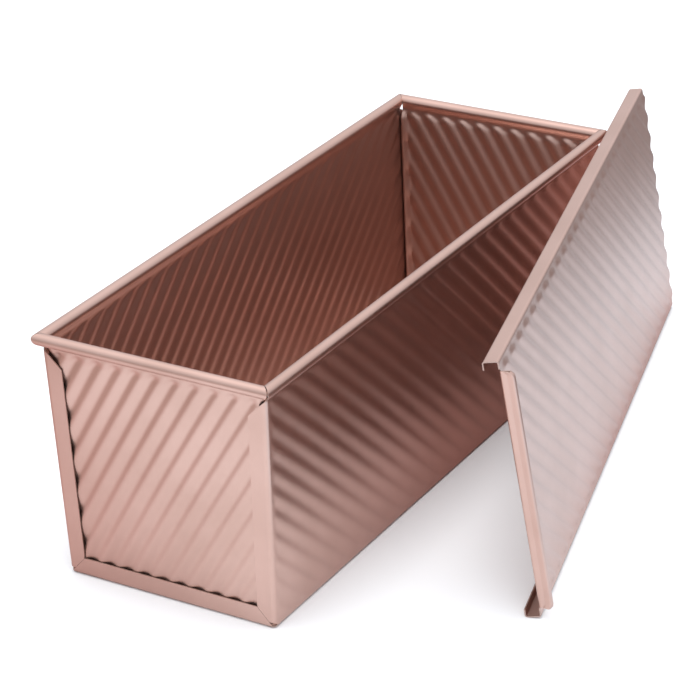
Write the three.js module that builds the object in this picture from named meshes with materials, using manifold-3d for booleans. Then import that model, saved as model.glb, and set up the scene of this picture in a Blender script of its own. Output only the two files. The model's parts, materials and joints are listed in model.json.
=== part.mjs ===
// A loaf pan for square sandwich bread, with a lid that slides on its rim.
//
// The pan is folded from fluted sheet: one long sheet makes the floor and both sides, and a fluted
// panel closes each end. The long sheet is folded over the ends as a frame of narrow flanges. All
// four top edges are rolled around one ring of wire, which makes the bead that the lid grips. The
// lid is a fluted sheet with a channel along both long edges and a hemmed grip flange at one end.
//
// Millimetres. +Z is up, X runs along the pan and the origin is the middle of its underside. The
// front end is at -X. The lid is off the pan: it stands on the floor on one long edge and leans
// on the rim's rear right corner.

import * as THREE from 'three';
import { mergeVertices } from 'three/addons/utils/BufferGeometryUtils.js';
import Module from 'manifold-3d';

// ---- driving dimensions ----

const RIM_LENGTH = 327; // over the bead
const RIM_WIDTH = 122; // over the bead
const PAN_HEIGHT = 121; // floor to the top of the bead
const DRAFT = 3.2; // how far each wall leans in from the bead to the floor
const SHEET = 0.6; // sheet thickness
const CLEARANCE = 0.3; // gap between pieces that touch

const BEAD_DIAMETER = 5.8; // rolled edge, outside
const BEAD_OVERHANG = 3.3; // how far the bead stands out from the wall below it
const WIRE_BEND = 0.3; // inside radius of the wire's corners
const BEAD_GAP = 0.9; // gap between two beads at a corner, where the wire shows
const BEAD_SIDES = 12; // flats round a bead and round the wire
const SLIT_START = 0.1; // gap between the roll's free edge and the wall, from the wall's face
const SLIT_END = 0.6;

const BEND = 2; // outside radius of the folds along the floor
const FLANGE_WIDTH = 9; // frame folded over the ends
const FLANGE_DROP = 1.4; // from the bead's underside to the top of the frame
const MITRE_SLIT = 0.4; // gap in the frame's mitred lower corners
const PANEL_RECESS = 2; // how far an end panel lies behind the frame
const PANEL_JOG_DROP = 2; // straight stretch of the end panel under its bead
const PANEL_NOTCH = 3; // how far an end panel's top corners are cut back

const FLUTE_PITCH = 8.5; // across the flutes
const FLUTE_DEPTH = 1;
const FLUTE_LAND = 0.3; // flat part of a flute's crest and of its root, as a share of the pitch
const SIDE_FLUTE_ANGLE = 42; // degrees from the pan's length
const END_FLUTE_ANGLE = 58; // degrees from the pan's width
const LID_FLUTE_ANGLE = 40; // degrees from the lid's length
const FOLD_MARGIN = 3; // flat strip beside a fold
const END_MARGIN = 5; // flat strip of the long sheet beside the end panels
const WELD = 0.4; // how far a fluted field reaches into the flat sheet around it
const LAND_STEP = 0.05; // from the flat sheet to the roots of flutes that all stand to one side

const LID_SIDE_PLAY = 0.4; // between the bead and the channel's web, on each side
const LID_LIFT_PLAY = 0.4; // up and down play of the bead in the channel
const LID_LIP = 4.1; // width of the channel's lip
const LID_BEND = 1.2; // outside radius of the channel's folds
const GRIP_HEIGHT = 6.2; // grip flange, from the lid's face
const GRIP_HEM = 2.4; // width of its hem, and radius of its corners
const GRIP_RELIEF = 4.6; // grip flange's distance from the lid's long edges

const LID_YAW = 14.4; // degrees between the standing lid and the pan's side
const LID_LEAN = 8.4; // degrees from upright
const LID_LEAN_GAP = 0.4; // between the lid and the bead it leans on
const LID_SETBACK = 110.9; // from the rim's rear corner forward to the lid's middle

// ---- sizes that follow ----

const beadRadius = BEAD_DIAMETER / 2;
const boreRadius = beadRadius - SHEET;
const wireRadius = boreRadius - CLEARANCE;
const wireBend = wireRadius + WIRE_BEND; // on the wire's centre line
const beadZ = PAN_HEIGHT - beadRadius;
const beadX = RIM_LENGTH / 2 - beadRadius; // the bead's centre lines
const beadY = RIM_WIDTH / 2 - beadRadius;
const past = 2 * BEAD_DIAMETER; // how far the cutting shapes reach past the rim
const bodyX = RIM_LENGTH / 2 - BEAD_OVERHANG; // outside of the walls, at bead height
const bodyY = RIM_WIDTH / 2 - BEAD_OVERHANG;
const wallTop = beadZ - boreRadius; // walls are trimmed where the wire passes

const frameTop = PAN_HEIGHT - BEAD_DIAMETER - FLANGE_DROP;
const trayX = bodyX - SHEET - CLEARANCE; // outer edge of an end panel's rims
const trayY = bodyY - SHEET - CLEARANCE;
const trayZ = LAND_STEP + SHEET + CLEARANCE;
const trayBend = Math.max(BEND - SHEET - CLEARANCE, SHEET);
const panelX = trayX - PANEL_RECESS; // outer face of an end panel
const jogRun = bodyX - panelX; // how far its top edge is stepped out
const jogTop = PAN_HEIGHT - BEAD_DIAMETER - PANEL_JOG_DROP;
const jogFoot = jogTop - jogRun;

const lidLength = RIM_LENGTH + CLEARANCE;
const lidWidth = RIM_WIDTH + 2 * (LID_SIDE_PLAY + SHEET);
const channelDepth = BEAD_DIAMETER + LID_LIFT_PLAY + 2 * SHEET;

const wasm = await Module();
wasm.setup();

// ---- solids ----

function solidOf(geometry) {
  geometry.deleteAttribute('normal');
  geometry.deleteAttribute('uv');
  const merged = mergeVertices(geometry);
  return new wasm.Manifold(new wasm.Mesh({
    numProp: 3,
    vertProperties: Float32Array.from(merged.attributes.position.array),
    triVerts: Uint32Array.from(merged.index.array),
  }));
}

function geometryOf(solid) {
  const mesh = solid.getMesh();
  const geometry = new THREE.BufferGeometry();
  geometry.setAttribute('position', new THREE.BufferAttribute(mesh.vertProperties, 3));
  geometry.setIndex(new THREE.BufferAttribute(mesh.triVerts, 1));
  return geometry;
}

function box([x0, x1], [y0, y1], [z0, z1]) {
  const geometry = new THREE.BoxGeometry(x1 - x0, y1 - y0, z1 - z0);
  geometry.translate((x0 + x1) / 2, (y0 + y1) / 2, (z0 + z1) / 2);
  return geometry;
}

function extrude(shape, depth) {
  return new THREE.ExtrudeGeometry(shape, { depth, bevelEnabled: false, curveSegments: 4 });
}

// A shape drawn in (Y, Z) and pulled along X from x0 to x1.
function pullAlongX(shape, x0, x1) {
  const geometry = extrude(shape, x1 - x0);
  geometry.applyMatrix4(new THREE.Matrix4().set(0, 0, 1, x0, 1, 0, 0, 0, 0, 1, 0, 0, 0, 0, 0, 1));
  return geometry;
}

// The outline of a sheet that follows a run of points, SHEET thick, with mitred corners.
function sheetOutline(points) {
  const side = (sign) => points.map((point, i) => {
    const before = points[Math.max(i - 1, 0)];
    const after = points[Math.min(i + 1, points.length - 1)];
    const into = point.clone().sub(before).normalize();
    const out = after.clone().sub(point).normalize();
    if (i === 0) into.copy(out);
    if (i === points.length - 1) out.copy(into);
    const normal = new THREE.Vector2(-into.y - out.y, into.x + out.x).normalize();
    const stretch = 1 / Math.sqrt((1 + into.dot(out)) / 2);
    return point.clone().addScaledVector(normal, (sign * stretch * SHEET) / 2);
  });
  return new THREE.Shape([...side(-1), ...side(1).reverse()]);
}

// A flat face's own frame, X to the right, Y up and Z towards someone facing it: it is stood
// upright, turned about the vertical by `turn` degrees and moved to `at`.
function standing(turn, at) {
  const upright = new THREE.Matrix4().makeRotationX(Math.PI / 2);
  const turned = new THREE.Matrix4().makeRotationZ(THREE.MathUtils.degToRad(turn));
  return new THREE.Matrix4().makeTranslation(...at).multiply(turned).multiply(upright);
}

// Fluted sheet in its own XY plane from x0,y0 to x1,y1. The roots of the flutes lie `rise` above
// the flat sheet around the field, which is SHEET thick with its top at Z = 0.
function fluted([x0, x1], [y0, y1], angle, rise, place = new THREE.Matrix4()) {
  const reach = Math.hypot(Math.max(-x0, x1), Math.max(-y0, y1));
  const count = Math.ceil(reach / FLUTE_PITCH);
  const top = [];
  for (let i = -count; i <= count; i += 1) {
    const half = FLUTE_LAND / 2;
    for (const [across, level] of [[-half, 0], [half, 0], [0.5 - half, 1], [0.5 + half, 1]]) {
      top.push(new THREE.Vector2((i + across) * FLUTE_PITCH, rise + level * FLUTE_DEPTH));
    }
  }
  const under = top.map((point) => new THREE.Vector2(point.x, point.y - SHEET)).reverse();
  const wave = extrude(new THREE.Shape([...top, ...under]), 2 * reach);
  wave.translate(0, 0, -reach);
  const along = THREE.MathUtils.degToRad(angle);
  wave.applyMatrix4(new THREE.Matrix4().makeBasis(
    new THREE.Vector3(-Math.sin(along), Math.cos(along), 0),
    new THREE.Vector3(0, 0, 1),
    new THREE.Vector3(Math.cos(along), Math.sin(along), 0),
  ));
  const limit = box([x0, x1], [y0, y1], [-5 * FLUTE_DEPTH, 5 * FLUTE_DEPTH]);
  return solidOf(wave.applyMatrix4(place)).intersect(solidOf(limit.applyMatrix4(place)));
}

// The opening in a flat sheet that a fluted field fills, with the field in it.
function flutedWindow(sheet, [x0, x1], [y0, y1], angle, rise, place = new THREE.Matrix4()) {
  const deep = 2 * SHEET;
  const opening = box([x0 + WELD, x1 - WELD], [y0 + WELD, y1 - WELD], [-deep, deep]);
  return sheet
    .subtract(solidOf(opening.applyMatrix4(place)))
    .add(fluted([x0, x1], [y0, y1], angle, rise, place));
}

// ---- bead and wire ----

// The wire: a ring of round section along the rim, made of a torus pulled apart at its quadrants.
function rimRing() {
  const rings = 16;
  const ring = new THREE.TorusGeometry(wireBend, wireRadius, BEAD_SIDES, rings);
  ring.rotateZ(Math.PI / rings);
  const position = ring.attributes.position;
  for (let i = 0; i < position.count; i += 1) {
    const turn = Math.floor((i % (rings + 1)) / (rings / 4)) % 4;
    const signX = turn === 0 || turn === 3 ? 1 : -1;
    const signY = turn < 2 ? 1 : -1;
    position.setX(i, position.getX(i) + signX * (beadX - wireBend));
    position.setY(i, position.getY(i) + signY * (beadY - wireBend));
    position.setZ(i, position.getZ(i) + beadZ);
  }
  return solidOf(ring);
}

// A round bar along one side of the rim or along one end, reaching past both corners.
function sideBar(radius, sign) {
  const bar = new THREE.CylinderGeometry(radius, radius, 2 * (beadX + past), BEAD_SIDES);
  return solidOf(bar.rotateZ(Math.PI / 2).translate(0, sign * beadY, beadZ));
}

function endBar(radius) {
  const bar = new THREE.CylinderGeometry(radius, radius, 2 * (beadY + past), BEAD_SIDES);
  return solidOf(bar.translate(beadX, 0, beadZ));
}

// The part of the rim that belongs to one wall, cut on the mitres through the corners.
function rimSector(points, shiftX, shiftY) {
  const shape = new THREE.Shape(points.map(([x, y]) => new THREE.Vector2(x, y)));
  const sector = extrude(shape, 2 * BEAD_DIAMETER);
  return solidOf(sector.translate(shiftX, shiftY, beadZ - BEAD_DIAMETER));
}

const ridge = beadX - beadY; // where two mitres meet on the pan's middle line
const shift = BEAD_GAP / Math.SQRT2;

function sideBead(sign) {
  const far = sign * (beadY + past);
  const sector = [[-beadX - past, far], [-ridge, 0], [ridge, 0], [beadX + past, far]];
  const ends = rimSector(sign > 0 ? sector.reverse() : sector, 0, sign * shift);
  return sideBar(beadRadius, sign).intersect(ends);
}

function endBead() {
  const far = beadX + past;
  const sector = [[ridge, 0], [far, -beadY - past], [far, beadY + past]];
  return endBar(beadRadius).intersect(rimSector(sector, shift, 0));
}

// ---- pieces of the pan ----

// The lower corners of the long sheet and of what fits inside it, drawn from the left to the right.
function roundFoot(shape, half, low, radius) {
  shape.lineTo(-half, low + radius);
  shape.absarc(-half + radius, low + radius, radius, Math.PI, 1.5 * Math.PI, false);
  shape.lineTo(half - radius, low);
  shape.absarc(half - radius, low + radius, radius, 1.5 * Math.PI, 2 * Math.PI, false);
}

// A sheet folded up at both sides, in (Y, Z), with its outside at `half` and `low`.
function troughShape(half, low, top, radius) {
  const inside = radius - SHEET;
  const shape = new THREE.Shape();
  shape.moveTo(-half, top);
  roundFoot(shape, half, low, radius);
  shape.lineTo(half, top);
  shape.lineTo(half - SHEET, top);
  shape.lineTo(half - SHEET, low + radius);
  shape.absarc(half - radius, low + radius, inside, 0, -Math.PI / 2, true);
  shape.lineTo(-half + radius, low + SHEET);
  shape.absarc(-half + radius, low + radius, inside, -Math.PI / 2, -Math.PI, true);
  shape.lineTo(-half + SHEET, top);
  return shape;
}

// The frame folded over one end: a strip down each side and one along the floor.
function frameShape() {
  const inner = bodyY - FLANGE_WIDTH;
  const shoulder = frameTop - FLANGE_WIDTH;
  const shape = new THREE.Shape();
  shape.moveTo(-bodyY, frameTop);
  roundFoot(shape, bodyY, LAND_STEP, BEND);
  shape.lineTo(bodyY, frameTop);
  shape.lineTo(inner, shoulder);
  shape.lineTo(inner, FLANGE_WIDTH);
  shape.lineTo(-inner, FLANGE_WIDTH);
  shape.lineTo(-inner, shoulder);
  return shape;
}

// The slit between the floor strip and a side strip, which stops short of the fold.
function mitreSlit(side, end) {
  const length = (FLANGE_WIDTH - BEND) * Math.SQRT2;
  const slit = new THREE.BoxGeometry(4 * SHEET, length, MITRE_SLIT);
  slit.rotateX((side * 3 * Math.PI) / 4);
  const middle = (FLANGE_WIDTH + BEND) / 2;
  return solidOf(slit.translate(end * bodyX, side * (bodyY - middle), middle));
}

function longSheet() {
  let sheet = solidOf(pullAlongX(troughShape(bodyY, LAND_STEP, wallTop, BEND), -bodyX, bodyX));
  const along = [-bodyX + END_MARGIN, bodyX - END_MARGIN];
  const acrossFloor = bodyY - BEND - FOLD_MARGIN;
  const upWall = [BEND + FOLD_MARGIN, frameTop - FOLD_MARGIN / 2];
  const floor = new THREE.Matrix4().makeTranslation(0, 0, SHEET);
  sheet = flutedWindow(sheet, along, [-acrossFloor, acrossFloor], SIDE_FLUTE_ANGLE, 0, floor);
  for (const [turn, y] of [[0, -bodyY], [180, bodyY]]) {
    const wall = standing(turn, [0, y, 0]);
    sheet = flutedWindow(sheet, along, upWall, -SIDE_FLUTE_ANGLE, -FLUTE_DEPTH / 2, wall);
  }
  for (const end of [-1, 1]) {
    const faces = [end * bodyX, end * (bodyX - SHEET)].sort((a, b) => a - b);
    sheet = sheet.add(solidOf(pullAlongX(frameShape(), ...faces)));
    for (const side of [-1, 1]) sheet = sheet.subtract(mitreSlit(side, end));
  }
  const beadFoot = PAN_HEIGHT - BEAD_DIAMETER;
  for (const end of [-1, 1]) {
    const corner = [end * (beadX - beadRadius - CLEARANCE), end * RIM_LENGTH].sort((a, b) => a - b);
    const room = box(corner, [-RIM_WIDTH, RIM_WIDTH], [beadFoot - CLEARANCE, PAN_HEIGHT]);
    sheet = sheet.subtract(solidOf(room));
  }
  for (const side of [-1, 1]) {
    const slitY = [side * (bodyY + SLIT_START), side * (bodyY + SLIT_END)].sort((a, b) => a - b);
    const slit = box([-RIM_LENGTH, RIM_LENGTH], slitY, [beadFoot - BEAD_DIAMETER, beadZ]);
    sheet = sheet.add(sideBead(side).subtract(solidOf(slit))).subtract(sideBar(boreRadius, side));
  }
  return sheet;
}

// What an end panel fills inside the long sheet, seen from the end.
function panelFace() {
  const face = new THREE.Shape();
  const shoulder = trayY - PANEL_NOTCH;
  face.moveTo(-trayY, jogFoot);
  roundFoot(face, trayY, trayZ, trayBend);
  face.lineTo(trayY, jogFoot);
  face.lineTo(shoulder, jogFoot);
  face.lineTo(shoulder, PAN_HEIGHT);
  face.lineTo(-shoulder, PAN_HEIGHT);
  face.lineTo(-shoulder, jogFoot);
  return face;
}

function endPanel(end) {
  const middle = panelX - SHEET / 2;
  const outline = sheetOutline([
    new THREE.Vector2(middle, trayZ),
    new THREE.Vector2(middle, jogFoot),
    new THREE.Vector2(middle + jogRun, jogTop),
    new THREE.Vector2(middle + jogRun, wallTop),
  ]);
  const plate = extrude(outline, 2 * trayY).rotateX(Math.PI / 2).translate(0, trayY, 0);
  let panel = solidOf(plate).intersect(solidOf(pullAlongX(panelFace(), 0, RIM_LENGTH)));
  const facing = standing(90, [panelX, 0, 0]);
  const across = trayY - SHEET - FOLD_MARGIN;
  const up = [trayZ + SHEET + FOLD_MARGIN, jogFoot - FOLD_MARGIN / 2];
  const rise = -FLUTE_DEPTH / 2;
  panel = flutedWindow(panel, [-across, across], up, END_FLUTE_ANGLE, rise, facing);
  const rims = pullAlongX(troughShape(trayY, trayZ, jogFoot, trayBend), panelX - SHEET, trayX);
  const slitX = [bodyX + SLIT_START, bodyX + SLIT_END];
  const slit = box(slitX, [-RIM_WIDTH, RIM_WIDTH], [beadZ - BEAD_DIAMETER, beadZ]);
  const bead = endBead().subtract(solidOf(slit));
  panel = panel.add(solidOf(rims)).add(bead).subtract(endBar(boreRadius));
  return geometryOf(panel).rotateZ(end > 0 ? 0 : Math.PI);
}

// ---- lid ----

// Cross-section of the lid's flat sheet with a channel along each long edge, in (Y, Z). Z = 0 is
// the lid's face, and the channels hang below it.
function lidShape() {
  const half = lidWidth / 2;
  const inner = LID_BEND - SHEET;
  const low = -channelDepth;
  const shape = new THREE.Shape();
  shape.moveTo(half - LID_BEND, 0);
  shape.lineTo(-half + LID_BEND, 0);
  shape.absarc(-half + LID_BEND, -LID_BEND, LID_BEND, Math.PI / 2, Math.PI, false);
  shape.absarc(-half + LID_BEND, low + LID_BEND, LID_BEND, Math.PI, 1.5 * Math.PI, false);
  shape.lineTo(-half + LID_LIP, low);
  shape.lineTo(-half + LID_LIP, low + SHEET);
  shape.absarc(-half + LID_BEND, low + LID_BEND, inner, 1.5 * Math.PI, Math.PI, true);
  shape.absarc(-half + LID_BEND, -LID_BEND, inner, Math.PI, Math.PI / 2, true);
  shape.absarc(half - LID_BEND, -LID_BEND, inner, Math.PI / 2, 0, true);
  shape.absarc(half - LID_BEND, low + LID_BEND, inner, 0, -Math.PI / 2, true);
  shape.lineTo(half - LID_LIP, low + SHEET);
  shape.lineTo(half - LID_LIP, low);
  shape.absarc(half - LID_BEND, low + LID_BEND, LID_BEND, -Math.PI / 2, 0, false);
  shape.absarc(half - LID_BEND, -LID_BEND, LID_BEND, 0, Math.PI / 2, false);
  return shape;
}

function gripShape(low) {
  const half = lidWidth / 2 - GRIP_RELIEF;
  const shape = new THREE.Shape();
  shape.moveTo(-half, low);
  shape.lineTo(half, low);
  shape.absarc(half - GRIP_HEM, GRIP_HEIGHT - GRIP_HEM, GRIP_HEM, 0, Math.PI / 2, false);
  shape.absarc(-half + GRIP_HEM, GRIP_HEIGHT - GRIP_HEM, GRIP_HEM, Math.PI / 2, Math.PI, false);
  return shape;
}

function lidSheet() {
  const near = -lidLength / 2;
  const far = lidLength / 2;
  const beyond = far + END_MARGIN;
  const across = lidWidth / 2 - LID_BEND - FOLD_MARGIN / 2;
  let lid = solidOf(pullAlongX(lidShape(), near, beyond));
  const field = [near + END_MARGIN, beyond + END_MARGIN];
  lid = flutedWindow(lid, field, [-across, across], -LID_FLUTE_ANGLE, LAND_STEP);
  const cutOff = box([far, 2 * far], [-lidWidth, lidWidth], [-lidWidth, lidWidth]);
  const flange = pullAlongX(gripShape(-SHEET), near, near + SHEET);
  const hem = pullAlongX(gripShape(GRIP_HEIGHT - GRIP_HEM), near - SHEET, near);
  return lid.subtract(solidOf(cutOff)).add(solidOf(flange)).add(solidOf(hem));
}

// ---- assembly ----

// Walls lean in towards the floor: sections shrink evenly from the bead's height down.
function draft(geometry) {
  const position = geometry.attributes.position;
  for (let i = 0; i < position.count; i += 1) {
    const drop = 1 - position.getZ(i) / beadZ;
    position.setX(i, position.getX(i) * (1 - (DRAFT / bodyX) * drop));
    position.setY(i, position.getY(i) * (1 - (DRAFT / bodyY) * drop));
  }
  return geometry;
}

const coating = { color: 0xc79a8e, roughness: 0.38, metalness: 0.75 };
const steel = { color: 0x9a9a98, roughness: 0.35, metalness: 0.9 };

function piece(name, geometry, finish) {
  geometry.computeVertexNormals();
  const mesh = new THREE.Mesh(geometry, new THREE.MeshStandardMaterial(finish));
  mesh.name = name;
  return mesh;
}

// The lid stands on the rounded lower corner of its channel and leans on the rim's rear right
// corner. The corner meets the upper lip, or the sheet where the rim is lower than the lip.
function leaningLid() {
  const lean = THREE.MathUtils.degToRad(LID_LEAN);
  const cornerY = -lidWidth / 2 + LID_BEND;
  const cornerZ = -channelDepth + LID_BEND;
  const height = LID_BEND - cornerY * Math.cos(lean) - cornerZ * Math.sin(lean);
  const lipFoot = height + (lidWidth / 2 - LID_LIP) * Math.cos(lean) - channelDepth * Math.sin(lean);
  const reach = LID_LEAN_GAP + (PAN_HEIGHT > lipFoot ? channelDepth : SHEET);
  const aside = (reach + (beadZ - height) * Math.sin(lean)) / Math.cos(lean);

  const tilted = new THREE.Group();
  tilted.rotation.x = Math.PI / 2 - lean;
  tilted.position.set(-LID_SETBACK, -aside, height);
  tilted.add(piece('lid', geometryOf(lidSheet()), coating));

  const turned = new THREE.Group();
  turned.rotation.z = THREE.MathUtils.degToRad(LID_YAW);
  turned.position.set(RIM_LENGTH / 2, -RIM_WIDTH / 2, 0);
  turned.add(tilted);
  return turned;
}

const loafPan = new THREE.Group();
loafPan.add(piece('pan_body', draft(geometryOf(longSheet())), coating));
loafPan.add(piece('front_end_panel', draft(endPanel(-1)), coating));
loafPan.add(piece('rear_end_panel', draft(endPanel(1)), coating));
loafPan.add(piece('rim_wire', draft(geometryOf(rimRing())), steel));
loafPan.add(leaningLid());

export default loafPan;
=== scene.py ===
"""A loaf pan folded from fluted, coated sheet, with its lid leaning on one corner of the rim.

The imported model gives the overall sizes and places. The sheets are made again here as thin, smooth
surfaces: each is one grid of points, drawn as a cross-section that is pulled along the sheet, with
the flutes pressed into it and its ends folded over.
"""

import json
import math

import bmesh
import bpy
import numpy as np
from mathutils import Matrix, Vector

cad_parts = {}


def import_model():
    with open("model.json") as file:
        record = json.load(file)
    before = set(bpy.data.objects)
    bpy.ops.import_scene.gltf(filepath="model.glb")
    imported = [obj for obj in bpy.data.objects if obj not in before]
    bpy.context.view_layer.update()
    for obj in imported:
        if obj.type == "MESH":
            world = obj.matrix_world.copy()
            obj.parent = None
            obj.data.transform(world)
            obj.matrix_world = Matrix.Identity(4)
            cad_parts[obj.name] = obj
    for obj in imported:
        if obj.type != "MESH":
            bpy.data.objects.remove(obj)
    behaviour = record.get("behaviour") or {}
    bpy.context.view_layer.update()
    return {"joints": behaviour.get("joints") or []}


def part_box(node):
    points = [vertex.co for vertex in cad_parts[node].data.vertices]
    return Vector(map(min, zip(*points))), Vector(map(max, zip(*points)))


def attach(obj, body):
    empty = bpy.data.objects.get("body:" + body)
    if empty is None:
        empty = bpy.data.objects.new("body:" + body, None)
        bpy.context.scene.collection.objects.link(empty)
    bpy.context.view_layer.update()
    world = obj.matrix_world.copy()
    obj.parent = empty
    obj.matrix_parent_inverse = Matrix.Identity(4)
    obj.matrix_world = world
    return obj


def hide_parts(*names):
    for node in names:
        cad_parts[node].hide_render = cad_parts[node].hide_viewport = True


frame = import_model()

# ---- sizes, in millimetres ----

MM = 0.001
pan_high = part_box("pan_body")[1] / MM
RIM_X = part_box("rear_end_panel")[1].x / MM  # half the rim's length, over the bead
RIM_Y = pan_high.y
PAN_HEIGHT = pan_high.z
DRAFT = 3.2  # how far each wall leans in from the bead to the floor
SHEET = 0.6
CLEARANCE = 0.3

BEAD_RADIUS = 2.9
BEAD_OVERHANG = 3.3  # how far the bead stands out from the wall below it
BEAD_SLIT = 0.35  # between two beads at a corner, on top
BEAD_SLIT_BELOW = 1.6
BEAD_STEPS = 44  # points round a bead
BEAD_X = RIM_X - BEAD_RADIUS
BEAD_Y = RIM_Y - BEAD_RADIUS
BEAD_Z = PAN_HEIGHT - BEAD_RADIUS
WIRE_RADIUS = 2.0
WIRE_BEND = 2.3

BEND = 2.0  # outside radius of the folds along the floor
WALL_FOOT = 111.8  # where the long sheet's walls start to swing out into their beads
BODY_X = RIM_X - BEAD_OVERHANG
BODY_Y = RIM_Y - BEAD_OVERHANG
FLANGE = 9.0
FLANGE_DROP = 1.4  # from the bead's underside to the top of the frame
FRAME_TOP = PAN_HEIGHT - 2 * BEAD_RADIUS - FLANGE_DROP
MITRE_SLIT = 0.8  # between two flanges of the frame at a corner
PANEL_RECESS = 2.0  # how far an end panel lies behind the frame
PANEL_BEND = 1.0
PANEL_RIM = 0.9  # width of the rim folded from each side of an end panel, past its bend
PANEL_FOOT = 108.6  # where an end panel starts to swing out into its bead
PANEL_JOG = 110.3  # where its folded sides stop
PANEL_X = BODY_X - SHEET - CLEARANCE - PANEL_RECESS
TRAY_Y = BODY_Y - SHEET - CLEARANCE
TRAY_Z = SHEET + CLEARANCE

FLUTE_PITCH = 8.5
FLUTE_DEPTH = 0.6
PANEL_FLUTE_DEPTH = 0.95
LID_FLUTE_DEPTH = 0.9
FLUTE_SKEW = 0.15  # makes one flank of a flute steeper than the other
PANEL_LIFT = 1.6  # brings the end panels' crests up to the flange in front of them
SIDE_FLUTE_ANGLE = 42
END_FLUTE_ANGLE = 58
LID_FLUTE_ANGLE = 40

LID_PLAY = 0.4  # between the bead and the lid's channel
LID_LENGTH = 2 * RIM_X + CLEARANCE
LID_HALF = RIM_Y + LID_PLAY + SHEET
LID_CHANNEL = 2 * BEAD_RADIUS + LID_PLAY + 2 * SHEET
LID_LEAN = 8.4  # degrees from upright
LID_LIP = 4.1  # width of its channels' lips
LID_BEND = 1.2
GRIP_HEIGHT = 6.2
GRIP_HEM = 2.4  # width of its hem, and radius of its corners
GRIP_BEND = 0.9
GRIP_ROLL = 0.9  # how far its hem stands open at the fold
HEM_SLOPE = 0.35  # how it closes from there
GRIP_RELIEF = 4.6  # cut away at each side of it

GRID = 1.2  # size of a sheet's grid
FOLD_ROWS = 24  # rows of that grid in a fold


# ---- curves ----

def line(start, end, step=GRID):
    """Points from start up to, but not including, end."""
    start, end = np.array(start, float), np.array(end, float)
    count = max(1, round(np.linalg.norm(end - start) / step))
    return [start + (end - start) * i / count for i in range(count)]


def arc(centre, radius, first, last, count):
    """Points on an arc, from one angle to the other in degrees, without its last point."""
    turns = np.radians(first + (last - first) * np.arange(count) / count)
    return [np.array(centre) + radius * np.array([math.cos(t), math.sin(t)]) for t in turns]


def bezier(start, along, before, end, count):
    """Points on a curve with two control points, without its last point."""
    steps = np.arange(count)[:, None] / count
    points = [np.array(p, float) for p in (start, along, before, end)]
    weights = ((1 - steps) ** 3, 3 * steps * (1 - steps) ** 2, 3 * steps**2 * (1 - steps), steps**3)
    return list(sum(w * p for w, p in zip(weights, points)))


def rolled_edge(wall, foot, centre):
    """From a wall at (wall, foot) up into a bead that is rolled outwards around its centre."""
    radius = BEAD_RADIUS - SHEET / 2
    enter, leave = 208, -94
    turn = math.radians(enter)
    meet = np.array(centre) + radius * np.array([math.cos(turn), math.sin(turn)])
    heading = np.array([math.sin(turn), -math.cos(turn)])
    rise = (meet[1] - foot) * 0.45
    swing = bezier((wall, foot), (wall, foot + rise), meet - rise * heading, meet, 10)
    roll = arc(centre, radius, enter, leave, BEAD_STEPS) + arc(centre, radius, leave, leave - 1, 1)
    return swing + roll


def smooth(x):
    """0 below 0, 1 above 1, and a soft step between them."""
    x = np.clip(x, 0, 1)
    return x * x * (3 - 2 * x)


def flutes(p, q, angle, room, ends=2.6):
    """Height of the flutes, from 0 in a root to 1 on a crest, at the points p, q of a face. They
    run at an angle to p and die away, with round ends, where room runs out."""
    turn = math.radians(angle)
    across = (q * math.cos(turn) - p * math.sin(turn)) / FLUTE_PITCH
    phase = 2 * math.pi * across
    wave = np.cos(phase + FLUTE_SKEW * np.cos(phase))
    return 0.5 - 0.5 * wave, smooth((room - 1.3 * (1 - np.abs(wave)) ** 2) / ends)


# ---- meshes ----

def draft(points):
    """Walls lean in towards the floor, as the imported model's do."""
    drop = 1 - points[..., 2] / BEAD_Z
    points[..., 0] *= 1 - DRAFT / BODY_X * drop
    points[..., 1] *= 1 - DRAFT / BODY_Y * drop
    return points


def fold_path(length, radius, hem=None):
    """Where a point of a fold lies, (out along the sheet, in across it), at a length along it.

    A hem, (reach, gap), turns the fold back on itself at that reach."""
    quarter = radius * math.pi / 2
    turn = np.minimum(length, quarter) / radius
    out = radius * np.sin(turn)
    across = radius * (1 - np.cos(turn)) + np.maximum(length - quarter, 0)
    if hem:
        reach, gap = hem
        half = gap / 2
        past = np.maximum(across - (reach - half), 0)
        bend = np.minimum(past / half, math.pi)
        back = np.maximum(past - math.pi * half, 0)
        out = out + half * (1 - np.cos(bend)) - HEM_SLOPE * back
        across = np.minimum(across, reach - half) + half * np.sin(bend) - back
    return out, across


def sheet_mesh(name, points, body, node, keep=None):
    """One sheet from a grid of points on its middle surface, in millimetres.

    keep tells which faces of the grid are sheet; without it all of them are."""
    rows, columns = points.shape[:2]
    index = np.arange(rows * columns).reshape(rows, columns)
    quads = np.stack([index[:-1, :-1], index[1:, :-1], index[1:, 1:], index[:-1, 1:]], -1)
    kept = quads.reshape(-1, 4) if keep is None else quads[keep]
    mesh = bpy.data.meshes.new(name)
    mesh.from_pydata((points.reshape(-1, 3) * MM).tolist(), [], kept.tolist())
    merge(mesh)
    piece = bpy.data.objects.new(name, mesh)
    bpy.context.collection.objects.link(piece)
    for material in sheet_materials:
        mesh.materials.append(material)
    solid = piece.modifiers.new("thickness", "SOLIDIFY")
    solid.thickness = SHEET * MM
    solid.offset = 0
    solid.material_offset_rim = 1
    bpy.context.view_layer.update()
    thick = piece.evaluated_get(bpy.context.evaluated_depsgraph_get())
    piece.data = bpy.data.meshes.new_from_object(thick)
    piece.modifiers.clear()
    finish_piece(piece, body, node)
    return piece


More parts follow.
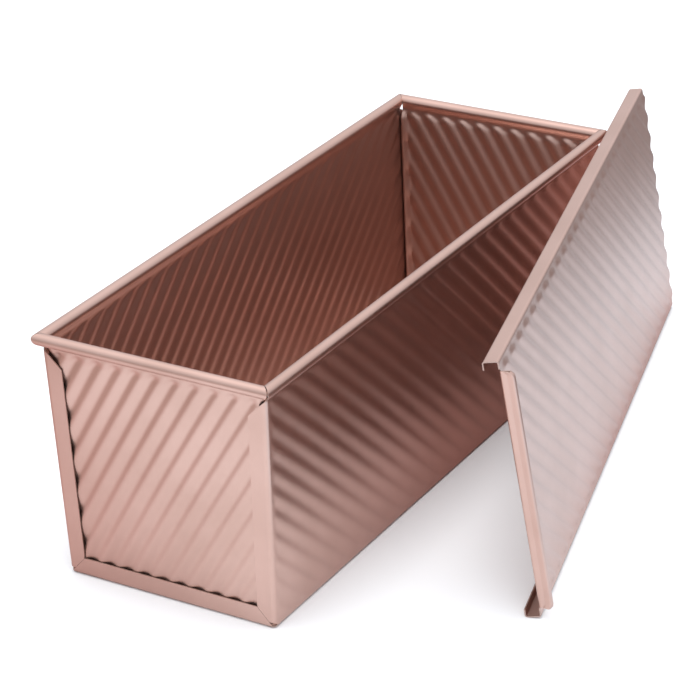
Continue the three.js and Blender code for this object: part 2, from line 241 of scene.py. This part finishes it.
def merge(mesh):
    """Joins points that fall together and drops faces without area."""
    made = bmesh.new()
    made.from_mesh(mesh)
    bmesh.ops.remove_doubles(made, verts=made.verts, dist=0.02 * MM)
    bmesh.ops.dissolve_degenerate(made, edges=made.edges, dist=0.01 * MM)
    loose = [v for v in made.verts if not v.link_faces]
    bmesh.ops.delete(made, geom=loose, context="VERTS")
    made.to_mesh(mesh)
    made.free()


def finish_piece(piece, body, node):
    piece.data.shade_smooth()
    piece.data.set_sharp_from_angle(angle=math.radians(40))
    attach(piece, body)
    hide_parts(node)


def profile_normals(profile):
    """The unit vector to the left of a cross-section at each of its points."""
    along = np.gradient(profile, axis=0)
    along /= np.linalg.norm(along, axis=1)[:, None]
    return np.stack([-along[:, 1], along[:, 0]], 1)


def sheet_grid(profile, ends, pressed, fold, reach, sign=1, far=None):
    """Points of a sheet whose cross-section is pulled along it to each of its ends and folded over.

    pressed(length) gives the height of the flutes at a row; fold(length) gives the path of the
    fold; reach holds the length of the near and the far fold at each point of the cross-section;
    sign tells which way they turn. The near end lies at -ends and the far end at far, which is the
    same as ends where it isn't given."""
    normals = profile_normals(profile)
    far = ends if far is None else far
    count = round(2 * ends.max() / GRID)
    shares = np.linspace(0, 1, FOLD_ROWS + 1)[1:]
    rows = []

    def row(length, shift):
        across = profile + normals * shift[:, None]
        rows.append(np.stack([length, across[:, 0], across[:, 1]], 1))

    for share in shares[::-1]:
        out, across = fold(reach[0] * share)
        row(-ends - out, sign * across)
    for step in np.linspace(0, 1, count + 1):
        length = (ends + far) * step - ends
        row(length, pressed(length))
    for share in shares:
        out, across = fold(reach[1] * share)
        row(far + out, sign * across)
    return np.array(rows)


# ---- materials ----

class Nodes:
    """Short words for building one node material."""

    def __init__(self, name):
        self.material = bpy.data.materials.new(name)
        self.material.use_nodes = True
        self.tree = self.material.node_tree
        self.shader = self.tree.nodes["Principled BSDF"]
        self.place = self.tree.nodes.new("ShaderNodeTexCoord").outputs["Object"]

    def add(self, kind, links=None, **values):
        node = self.tree.nodes.new("ShaderNode" + kind)
        for name, value in values.items():
            if hasattr(node, name):
                setattr(node, name, value)
            else:
                node.inputs[name.replace("_", " ")].default_value = value
        for name, source in (links or {}).items():
            self.tree.links.new(source, node.inputs[name])
        return node

    def noise(self, size, detail=2.0, rough=0.5):
        node = self.add("TexNoise", {"Vector": self.place}, Detail=detail, Roughness=rough)
        node.inputs["Scale"].default_value = 1 / (size * MM)
        return node.outputs["Fac"]

    def between(self, factor, low, high):
        node = self.add("MapRange", {"Value": factor})
        node.inputs["To Min"].default_value = low
        node.inputs["To Max"].default_value = high
        return node.outputs["Result"]

    def tones(self, factor, *stops):
        """Colours along the factor, from stops of (place, colour)."""
        node = self.add("ValToRGB", {"Fac": factor})
        ramp = node.color_ramp
        while len(ramp.elements) < len(stops):
            ramp.elements.new(0.5)
        for element, (at, colour) in zip(ramp.elements, stops):
            element.position = at
            element.color = (*colour, 1)
        return node.outputs["Color"]

    def mix(self, factor, first, second):
        """From a first colour, or a node's output, to a second colour."""
        node = self.add("MixRGB", {"Fac": factor})
        node.inputs["Color2"].default_value = second
        if isinstance(first, tuple):
            node.inputs["Color1"].default_value = first
        else:
            self.tree.links.new(first, node.inputs["Color1"])
        return node.outputs["Color"]

    def bump(self, height, strength, distance):
        node = self.add("Bump", {"Height": height}, Strength=strength)
        node.inputs["Distance"].default_value = distance * MM
        self.tree.links.new(node.outputs["Normal"], self.shader.inputs["Normal"])

    def link(self, source, socket):
        self.tree.links.new(source, self.shader.inputs[socket])


def coating():
    """Satin rose-gold non-stick coating: metallic flakes in a slightly uneven clear film."""
    nodes = Nodes("coated_sheet")
    nodes.shader.inputs["Metallic"].default_value = 1.0
    nodes.shader.inputs["Coat Weight"].default_value = 0.12
    nodes.shader.inputs["Coat Roughness"].default_value = 0.22
    clouds = nodes.noise(38, 3, 0.55)
    tones = nodes.tones(clouds, (0.3, (0.585, 0.392, 0.336)), (0.7, (0.645, 0.442, 0.385)))
    nodes.link(tones, "Base Color")
    grain = nodes.noise(0.45, 2, 0.6)
    nodes.link(nodes.between(grain, 0.27, 0.41), "Roughness")
    nodes.bump(grain, 0.12, 0.05)
    return nodes.material


def bare_edge():
    """The cut edge of the sheet: steel, dulled by the oven."""
    nodes = Nodes("sheet_edge")
    nodes.shader.inputs["Metallic"].default_value = 0.9
    streaks = nodes.noise(1.4, 3, 0.6)
    tones = nodes.tones(streaks, (0.3, (0.42, 0.30, 0.26)), (0.7, (0.58, 0.43, 0.38)))
    nodes.link(tones, "Base Color")
    nodes.link(nodes.between(streaks, 0.35, 0.55), "Roughness")
    return nodes.material


def wire_steel():
    """Drawn steel wire, with fine marks."""
    nodes = Nodes("drawn_wire")
    nodes.shader.inputs["Metallic"].default_value = 1.0
    marks = nodes.noise(0.8, 3, 0.6)
    tones = nodes.tones(marks, (0.3, (0.34, 0.33, 0.32)), (0.7, (0.55, 0.54, 0.53)))
    nodes.link(tones, "Base Color")
    nodes.link(nodes.between(marks, 0.25, 0.45), "Roughness")
    nodes.bump(marks, 0.1, 0.05)
    return nodes.material


sheet_materials = [coating(), bare_edge()]


# ---- pan ----

def bead_slit(height):
    """How far a bead's end keeps from the corner's mitre line: the slit opens out downwards."""
    below = smooth((BEAD_Z + BEAD_RADIUS / 2 - height) / (1.5 * BEAD_RADIUS))
    return (BEAD_SLIT + (BEAD_SLIT_BELOW - BEAD_SLIT) * below) / math.sqrt(2)


def body_profile():
    """Half the long sheet's cross-section, (Y, Z), from the floor's middle to the bead's end."""
    middle = BODY_Y - SHEET / 2
    low = SHEET / 2
    floor = line((0, low), (BODY_Y - BEND, low))
    corner = arc((BODY_Y - BEND, BEND), BEND - SHEET / 2, -90, 0, 6)
    wall = line((middle, BEND), (middle, WALL_FOOT))
    return floor + corner + wall + rolled_edge(middle, WALL_FOOT, (BEAD_Y, BEAD_Z))


def pan_body():
    """The long sheet: floor, two walls with their beads, and the frame round both ends."""
    half = np.array(body_profile())
    profile = np.concatenate([half[:0:-1] * (-1, 1), half])
    side, up = np.abs(profile[:, 0]), profile[:, 1]
    on_wall = up > BEND
    in_bead = np.zeros(len(profile), bool)
    in_bead[:BEAD_STEPS + 1] = in_bead[-BEAD_STEPS - 1:] = True
    mitre = BEAD_X + side - BEAD_Y - bead_slit(up)
    above = BEAD_X - BEAD_RADIUS - CLEARANCE
    ends = np.where(in_bead, mitre, np.where(up > FRAME_TOP, above, BODY_X - BEND))

    limit = np.where(on_wall, np.minimum(FRAME_TOP - up, up - MITRE_SLIT / 2),
                     np.minimum(BODY_Y - side - MITRE_SLIT / 2, FLANGE))
    width = np.clip(limit, 0, FLANGE)
    radius = BEND - SHEET / 2
    arc_part = radius * np.arccos(1 - np.minimum(width, radius) / radius)
    reach = np.where(in_bead, 0, arc_part + np.maximum(width - radius, 0))

    inner = BODY_Y - BEND - 3

    def pressed(length):
        along = BODY_X - BEND - 0.6 - np.abs(length)
        wall_room = np.minimum(np.minimum(along, up - BEND - 0.8), FRAME_TOP - 0.4 - up)
        facing = np.where(profile[:, 0] < 0, length, -length)
        crest, fade = flutes(facing, up, -SIDE_FLUTE_ANGLE, wall_room, 2)
        wall = -(crest - 0.5) * fade
        floor_room = np.minimum(along, inner - side)
        crest, fade = flutes(length, profile[:, 0], SIDE_FLUTE_ANGLE, floor_room)
        floor = crest * fade
        return FLUTE_DEPTH * np.where(on_wall, wall, floor)

    points = sheet_grid(profile, ends, pressed, lambda e: fold_path(e, radius), (reach, reach))
    return sheet_mesh("pan_body_sheet", draft(points), "pan", "pan_body")


def end_panel(end, name, node):
    """The panel at one end, -1 or 1: a shallow tray that stands behind the frame, with its bead."""
    middle = PANEL_X - SHEET / 2
    low = TRAY_Z + SHEET / 2
    rim = line((BODY_X - SHEET - CLEARANCE, low), (middle + PANEL_BEND, low), 0.5)
    corner = arc((middle + PANEL_BEND, low + PANEL_BEND), PANEL_BEND, 270, 180, 5)
    face = line((middle, low + PANEL_BEND), (middle, PANEL_FOOT))
    profile = np.array(rim + corner + face + rolled_edge(middle, PANEL_FOOT, (BEAD_X, BEAD_Z)))
    out, up = profile[:, 0], profile[:, 1]
    in_bead = np.zeros(len(profile), bool)
    in_bead[-BEAD_STEPS - 1:] = True
    mitre = BEAD_Y + out - BEAD_X - bead_slit(up)
    above = TRAY_Y - PANEL_BEND
    crest_top = BEAD_Z - BEAD_RADIUS - 1.2
    panel_top = BEAD_Z - BEAD_RADIUS / 2
    corner_in = np.clip(up - low, 0, PANEL_BEND)
    rounded = PANEL_BEND - np.sqrt(np.maximum(PANEL_BEND**2 - (PANEL_BEND - corner_in) ** 2, 0))
    tray = TRAY_Y - SHEET / 2 - PANEL_BEND - rounded
    ends = np.where(in_bead, mitre, np.where(up > PANEL_JOG, above, tray))
    quarter = PANEL_BEND * math.pi / 2
    unfolded = in_bead | (up > PANEL_JOG) | (up < low + PANEL_BEND)
    reach = np.where(unfolded, 0, quarter + PANEL_RIM)

    def pressed(length):
        room = np.minimum(TRAY_Y - SHEET - 0.8 - np.abs(length), up - TRAY_Z - SHEET - 0.8)
        crest, fade = flutes(length, up, END_FLUTE_ANGLE, np.minimum(room, crest_top - up), 2)
        lift = smooth(room / 2.5) * smooth((panel_top - up) / (panel_top - PANEL_FOOT))
        return -PANEL_LIFT * lift - PANEL_FLUTE_DEPTH * (crest - 0.5) * fade

    points = sheet_grid(profile, ends, pressed, lambda e: fold_path(e, PANEL_BEND),
                        (reach, reach), sign=-1)
    points = points[..., [1, 0, 2]]
    if end < 0:
        points[..., :2] *= -1
    return sheet_mesh(name, draft(points)[::-1], "pan", node)


def rim_wire():
    """The wire inside the four rolled edges, bent at the corners."""
    sides, quarter = 20, 10
    path = []
    for corner in range(4):
        sign_x = 1 if corner in (0, 3) else -1
        sign_y = 1 if corner < 2 else -1
        centre = (sign_x * (BEAD_X - WIRE_BEND), sign_y * (BEAD_Y - WIRE_BEND))
        for step in range(quarter + 1):
            turn = math.radians(90 * corner + 90 * step / quarter)
            path.append((centre, (math.cos(turn), math.sin(turn))))
    points = []
    for (x, y), (out_x, out_y) in path:
        for turn in np.radians(np.arange(sides) * 360 / sides):
            reach = WIRE_BEND + WIRE_RADIUS * math.cos(turn)
            rise = WIRE_RADIUS * math.sin(turn)
            points.append((x + out_x * reach, y + out_y * reach, BEAD_Z + rise))
    points = draft(np.array(points)) * MM
    faces = []
    for i in range(len(path)):
        for j in range(sides):
            here, after, beside = i * sides, (i + 1) % len(path) * sides, (j + 1) % sides
            faces.append((here + j, after + j, after + beside, here + beside))
    mesh = bpy.data.meshes.new("rim_wire_ring")
    mesh.from_pydata(points.tolist(), [], faces)
    piece = bpy.data.objects.new("rim_wire_ring", mesh)
    bpy.context.collection.objects.link(piece)
    mesh.materials.append(wire_steel())
    finish_piece(piece, "pan", "rim_wire")
    return piece


# ---- lid ----

def lid_profile():
    """Half the lid's cross-section, (Y, Z), from its middle to the channel's lip, face at Z = 0."""
    top = -SHEET / 2
    radius = LID_BEND - SHEET / 2
    web = LID_HALF - SHEET / 2
    low = -LID_CHANNEL + SHEET / 2
    face = line((0, top), (web - radius, top))
    first = arc((web - radius, top - radius), radius, 90, 0, 6)
    side = line((web, top - radius), (web, low + radius), 0.7)
    second = arc((web - radius, low + radius), radius, 0, -90, 6)
    lip = line((web - radius, low), (LID_HALF - LID_LIP, low), 0.7)
    return face + first + side + second + lip + [np.array((LID_HALF - LID_LIP, low))]


def lid():
    """The lid, with the grip flange folded up from its near end, leaning on the pan."""
    half = np.array(lid_profile())
    profile = np.concatenate([half[:0:-1] * (-1, 1), half])
    side, level = np.abs(profile[:, 0]), profile[:, 1]
    hem_gap = SHEET + GRIP_ROLL
    end = LID_LENGTH / 2
    on_face = level > -SHEET
    grip = on_face & (side < LID_HALF - GRIP_RELIEF)
    inner = LID_HALF - LID_BEND - 1.5
    far = np.full(len(profile), end)
    near = np.where(grip, end - GRIP_BEND - SHEET / 2, end)
    round_off = np.clip(GRIP_HEM - (LID_HALF - GRIP_RELIEF - side), 0, GRIP_HEM)
    height = GRIP_HEIGHT + SHEET / 2 - GRIP_HEM + np.sqrt(GRIP_HEM**2 - round_off**2)
    # the flange's length past its height: what its two bends take, and the hem
    bends = math.pi / 2 * (GRIP_BEND + hem_gap) - hem_gap / 2 - GRIP_BEND
    near_reach = np.where(grip, height + bends + GRIP_HEM, 0)

    def pressed(length):
        room = np.minimum(inner - side, length + end - 2)
        crest, fade = flutes(length, profile[:, 0], -LID_FLUTE_ANGLE, room)
        return np.where(on_face, LID_FLUTE_DEPTH * crest * fade, 0)

    def fold(length):
        return fold_path(length, GRIP_BEND, (height, hem_gap))

    points = sheet_grid(profile, near, pressed, fold, (near_reach, 0 * near_reach), far=far)
    keep = np.ones((points.shape[0] - 1, points.shape[1] - 1), bool)
    keep[:FOLD_ROWS] = grip[:-1] & grip[1:]
    keep[-FOLD_ROWS:] = False
    along_x, along_y, _ = frame["joints"][0]["axis"]
    yaw = math.atan2(-along_y, -along_x)
    turn = Matrix.Rotation(yaw, 3, "Z") @ Matrix.Rotation(math.radians(90 - LID_LEAN), 3, "X")
    points = points @ np.array(turn).T
    low, high = (np.array(corner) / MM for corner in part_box("lid"))
    middle = (points.reshape(-1, 3).min(0) + points.reshape(-1, 3).max(0)) / 2
    points += (low + high) / 2 - middle
    return sheet_mesh("lid_sheet", points, "lid", "lid", keep)


pan_body()
end_panel(-1, "front_panel_sheet", "front_end_panel")
end_panel(1, "rear_panel_sheet", "rear_end_panel")
rim_wire()
lid()


# ---- floor, light and camera ----

SKY = 1.28
# a painted darker copy of the floor's colour, which reflections and bounced light see in place of
# what the camera sees
PAPER_PAINTED_DARKER = (0.86, 0.87, 0.89, 1)
PAPER_SEEN = (0.93, 0.96, 0.985, 1)  # what the camera sees of it
# Painted reflections, besides the plain paper: shades painted on the floor for the sheets to mirror,
# which the camera doesn't see: a warm painted shade along the pan, painted cool light to the right
# of it, a painted dark beyond that, and a warm painted shade to the left. Each has its direction,
# the distances that way from the middle, in metres, where it starts and where it is full, and its
# colour.
PAINTED_REFLECTION_SHADES = (
    ((0.7, 0.71, 0), -0.145, -0.03, (0.53, 0.35, 0.33, 1)),
    ((0.25, -0.97, 0), 0.12, 0.14, (0.76, 0.87, 0.95, 1)),
    ((0.535, -0.845, 0), 0.25, 0.31, (0.27, 0.25, 0.25, 1)),
    ((-0.25, 0.97, 0), 0.2, 0.36, (0.46, 0.36, 0.33, 1)),
)


def floor():
    """A sheet of paper, with painted reflections: shades painted on it for the sheets to mirror. The
    camera sees it plain.
    """
    size = 12.0
    mesh = bpy.data.meshes.new("floor")
    corners = [(-size, -size, 0), (size, -size, 0), (size, size, 0), (-size, size, 0)]
    mesh.from_pydata(corners, [], [(0, 1, 2, 3)])
    ground = bpy.data.objects.new("floor", mesh)
    bpy.context.collection.objects.link(ground)
    nodes = Nodes("floor_paper_painted_reflections")
    nodes.shader.inputs["Roughness"].default_value = 0.9
    nodes.shader.inputs["Specular IOR Level"].default_value = 0.1
    seen = nodes.add("LightPath").outputs["Is Camera Ray"]
    # the floor's colour for every ray but the camera's: the darker painted copy of the paper, with
    # each painted reflection shade mixed over it
    paper = None
    for side, first, last, colour in PAINTED_REFLECTION_SHADES:
        across = nodes.add("VectorMath", {0: nodes.place}, operation="DOT_PRODUCT")
        across.inputs[1].default_value = side
        edge = nodes.add("MapRange", {"Value": across.outputs["Value"]})
        edge.inputs["From Min"].default_value = first
        edge.inputs["From Max"].default_value = last
        paper = nodes.mix(edge.outputs["Result"], paper or PAPER_PAINTED_DARKER, colour)
    # the camera sees the plain paper; every other ray sees the painted darker copy with its painted
    # reflection shades
    nodes.link(nodes.mix(seen, paper, PAPER_SEEN), "Base Color")
    mesh.materials.append(nodes.material)


def softbox():
    """One large lamp over the pan."""
    light = bpy.data.lights.new("overhead", "AREA")
    light.shape = "RECTANGLE"
    light.size = light.size_y = 0.8
    light.energy = 14
    lamp = bpy.data.objects.new("overhead", light)
    bpy.context.collection.objects.link(lamp)
    place, target = Vector((-0.2, -0.1, 1.8)), Vector((0, -0.1, 0))
    lamp.location = place
    lamp.rotation_euler = (target - place).to_track_quat("-Z", "Y").to_euler()


def world():
    """A white studio: bright overhead, darker towards the walls."""
    sky = bpy.data.worlds.new("studio")
    bpy.context.scene.world = sky
    sky.use_nodes = True
    tree = sky.node_tree
    background = tree.nodes["Background"]
    background.inputs["Strength"].default_value = SKY
    place = tree.nodes.new("ShaderNodeTexCoord")
    parts = tree.nodes.new("ShaderNodeSeparateXYZ")
    ramp = tree.nodes.new("ShaderNodeValToRGB")
    tree.links.new(place.outputs["Generated"], parts.inputs["Vector"])
    tree.links.new(parts.outputs["Z"], ramp.inputs["Fac"])
    tree.links.new(ramp.outputs["Color"], background.inputs["Color"])
    low, high = ramp.color_ramp.elements
    low.position, low.color = 0.1, (0.52, 0.53, 0.55, 1)
    high.position, high.color = 0.85, (1.0, 1.01, 1.03, 1)


def camera():
    """A long lens from the front, left and above."""
    eye = bpy.data.cameras.new("camera")
    eye.sensor_width = 36
    eye.lens = 145.0
    eye.clip_end = 100
    seen = bpy.data.objects.new("camera", eye)
    bpy.context.collection.objects.link(seen)
    seen.rotation_mode = "QUATERNION"
    heading, pitch, roll = (math.radians(a) for a in (58.82, -25.97, -2.07))
    turn = Matrix.Rotation(-heading, 3, "Z") @ Matrix.Rotation(math.pi / 2 + pitch, 3, "X")
    seen.rotation_quaternion = (turn @ Matrix.Rotation(roll, 3, "Z")).to_quaternion()
    seen.location = (-1.0384, -0.6311, 0.6470)
    bpy.context.scene.camera = seen


floor()
world()
softbox()
camera()
bpy.context.scene.view_settings.view_transform = "Standard"
